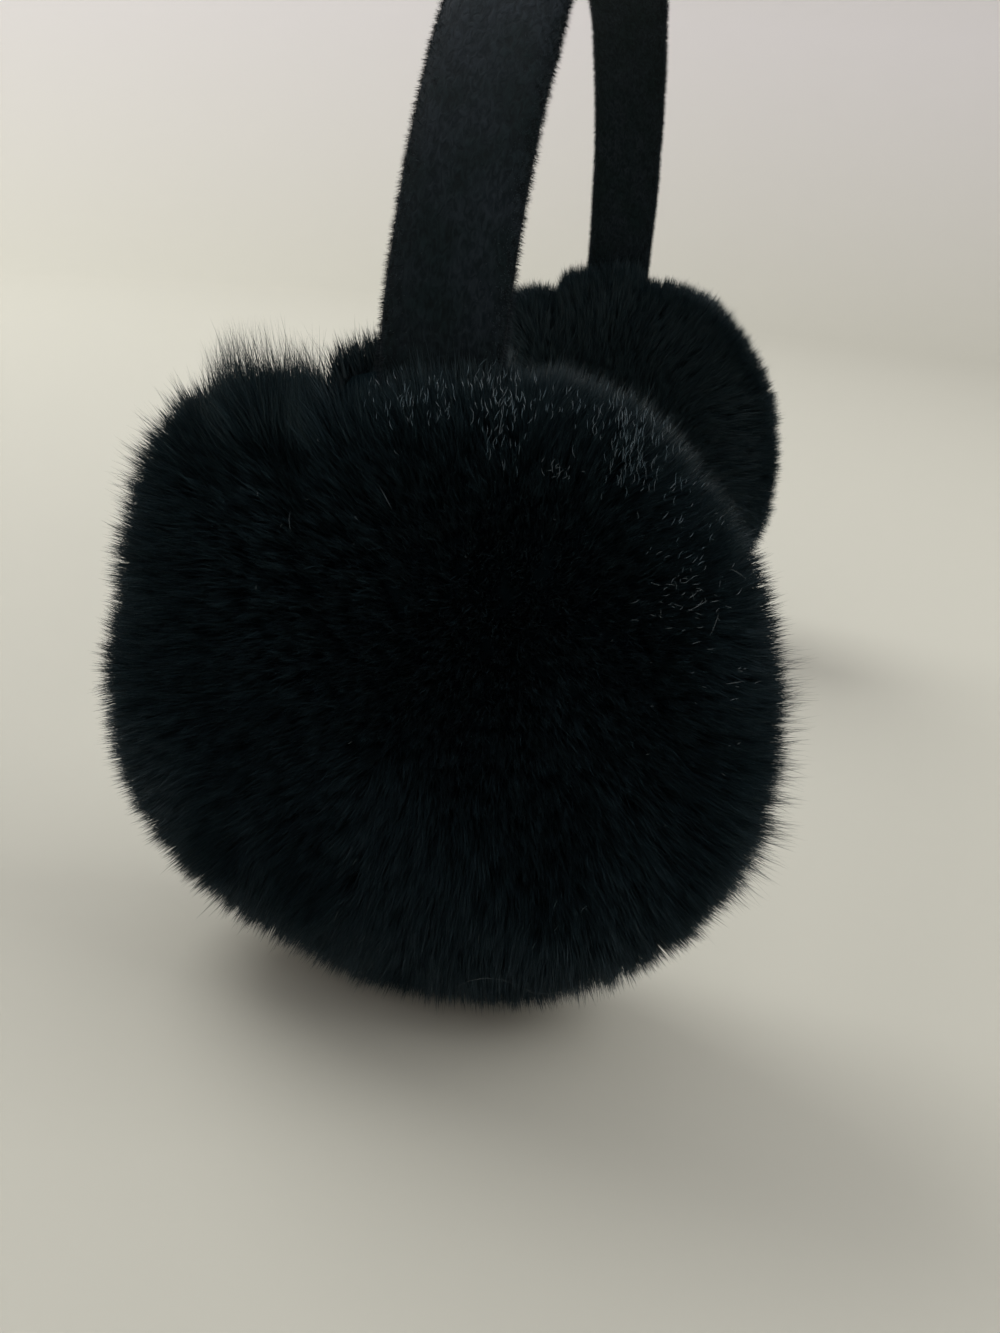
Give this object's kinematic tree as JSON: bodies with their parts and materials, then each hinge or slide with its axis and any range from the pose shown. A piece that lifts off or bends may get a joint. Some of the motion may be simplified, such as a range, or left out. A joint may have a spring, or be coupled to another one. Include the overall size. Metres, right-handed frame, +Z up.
{
  "type": "fur earmuffs",
  "caption": "Black fur earmuffs: a velvet-covered spring band arched over the head, with a round, deep-pile fur muff on each end.",
  "frame": {"origin": "on the floor that the two muffs stand on, midway between them", "axes": "+X from the wearer's right ear to the left ear, -Y the way the wearer faces, +Z up to the top of the band"},
  "size_m": [0.2356, 0.117, 0.1887],
  "materials": {
    "velvet": "black short-pile velvet sleeve",
    "outer_fur": "deep black pile, clumped into fine points",
    "ear_fur": "deep black pile, pressed flat in the middle"
  },
  "bodies": {
    "root": {"headband": "velvet", "right_outer_fur": "outer_fur", "right_ear_fur": "ear_fur", "left_outer_fur": "outer_fur", "left_ear_fur": "ear_fur"}
  },
  "joints": []
}
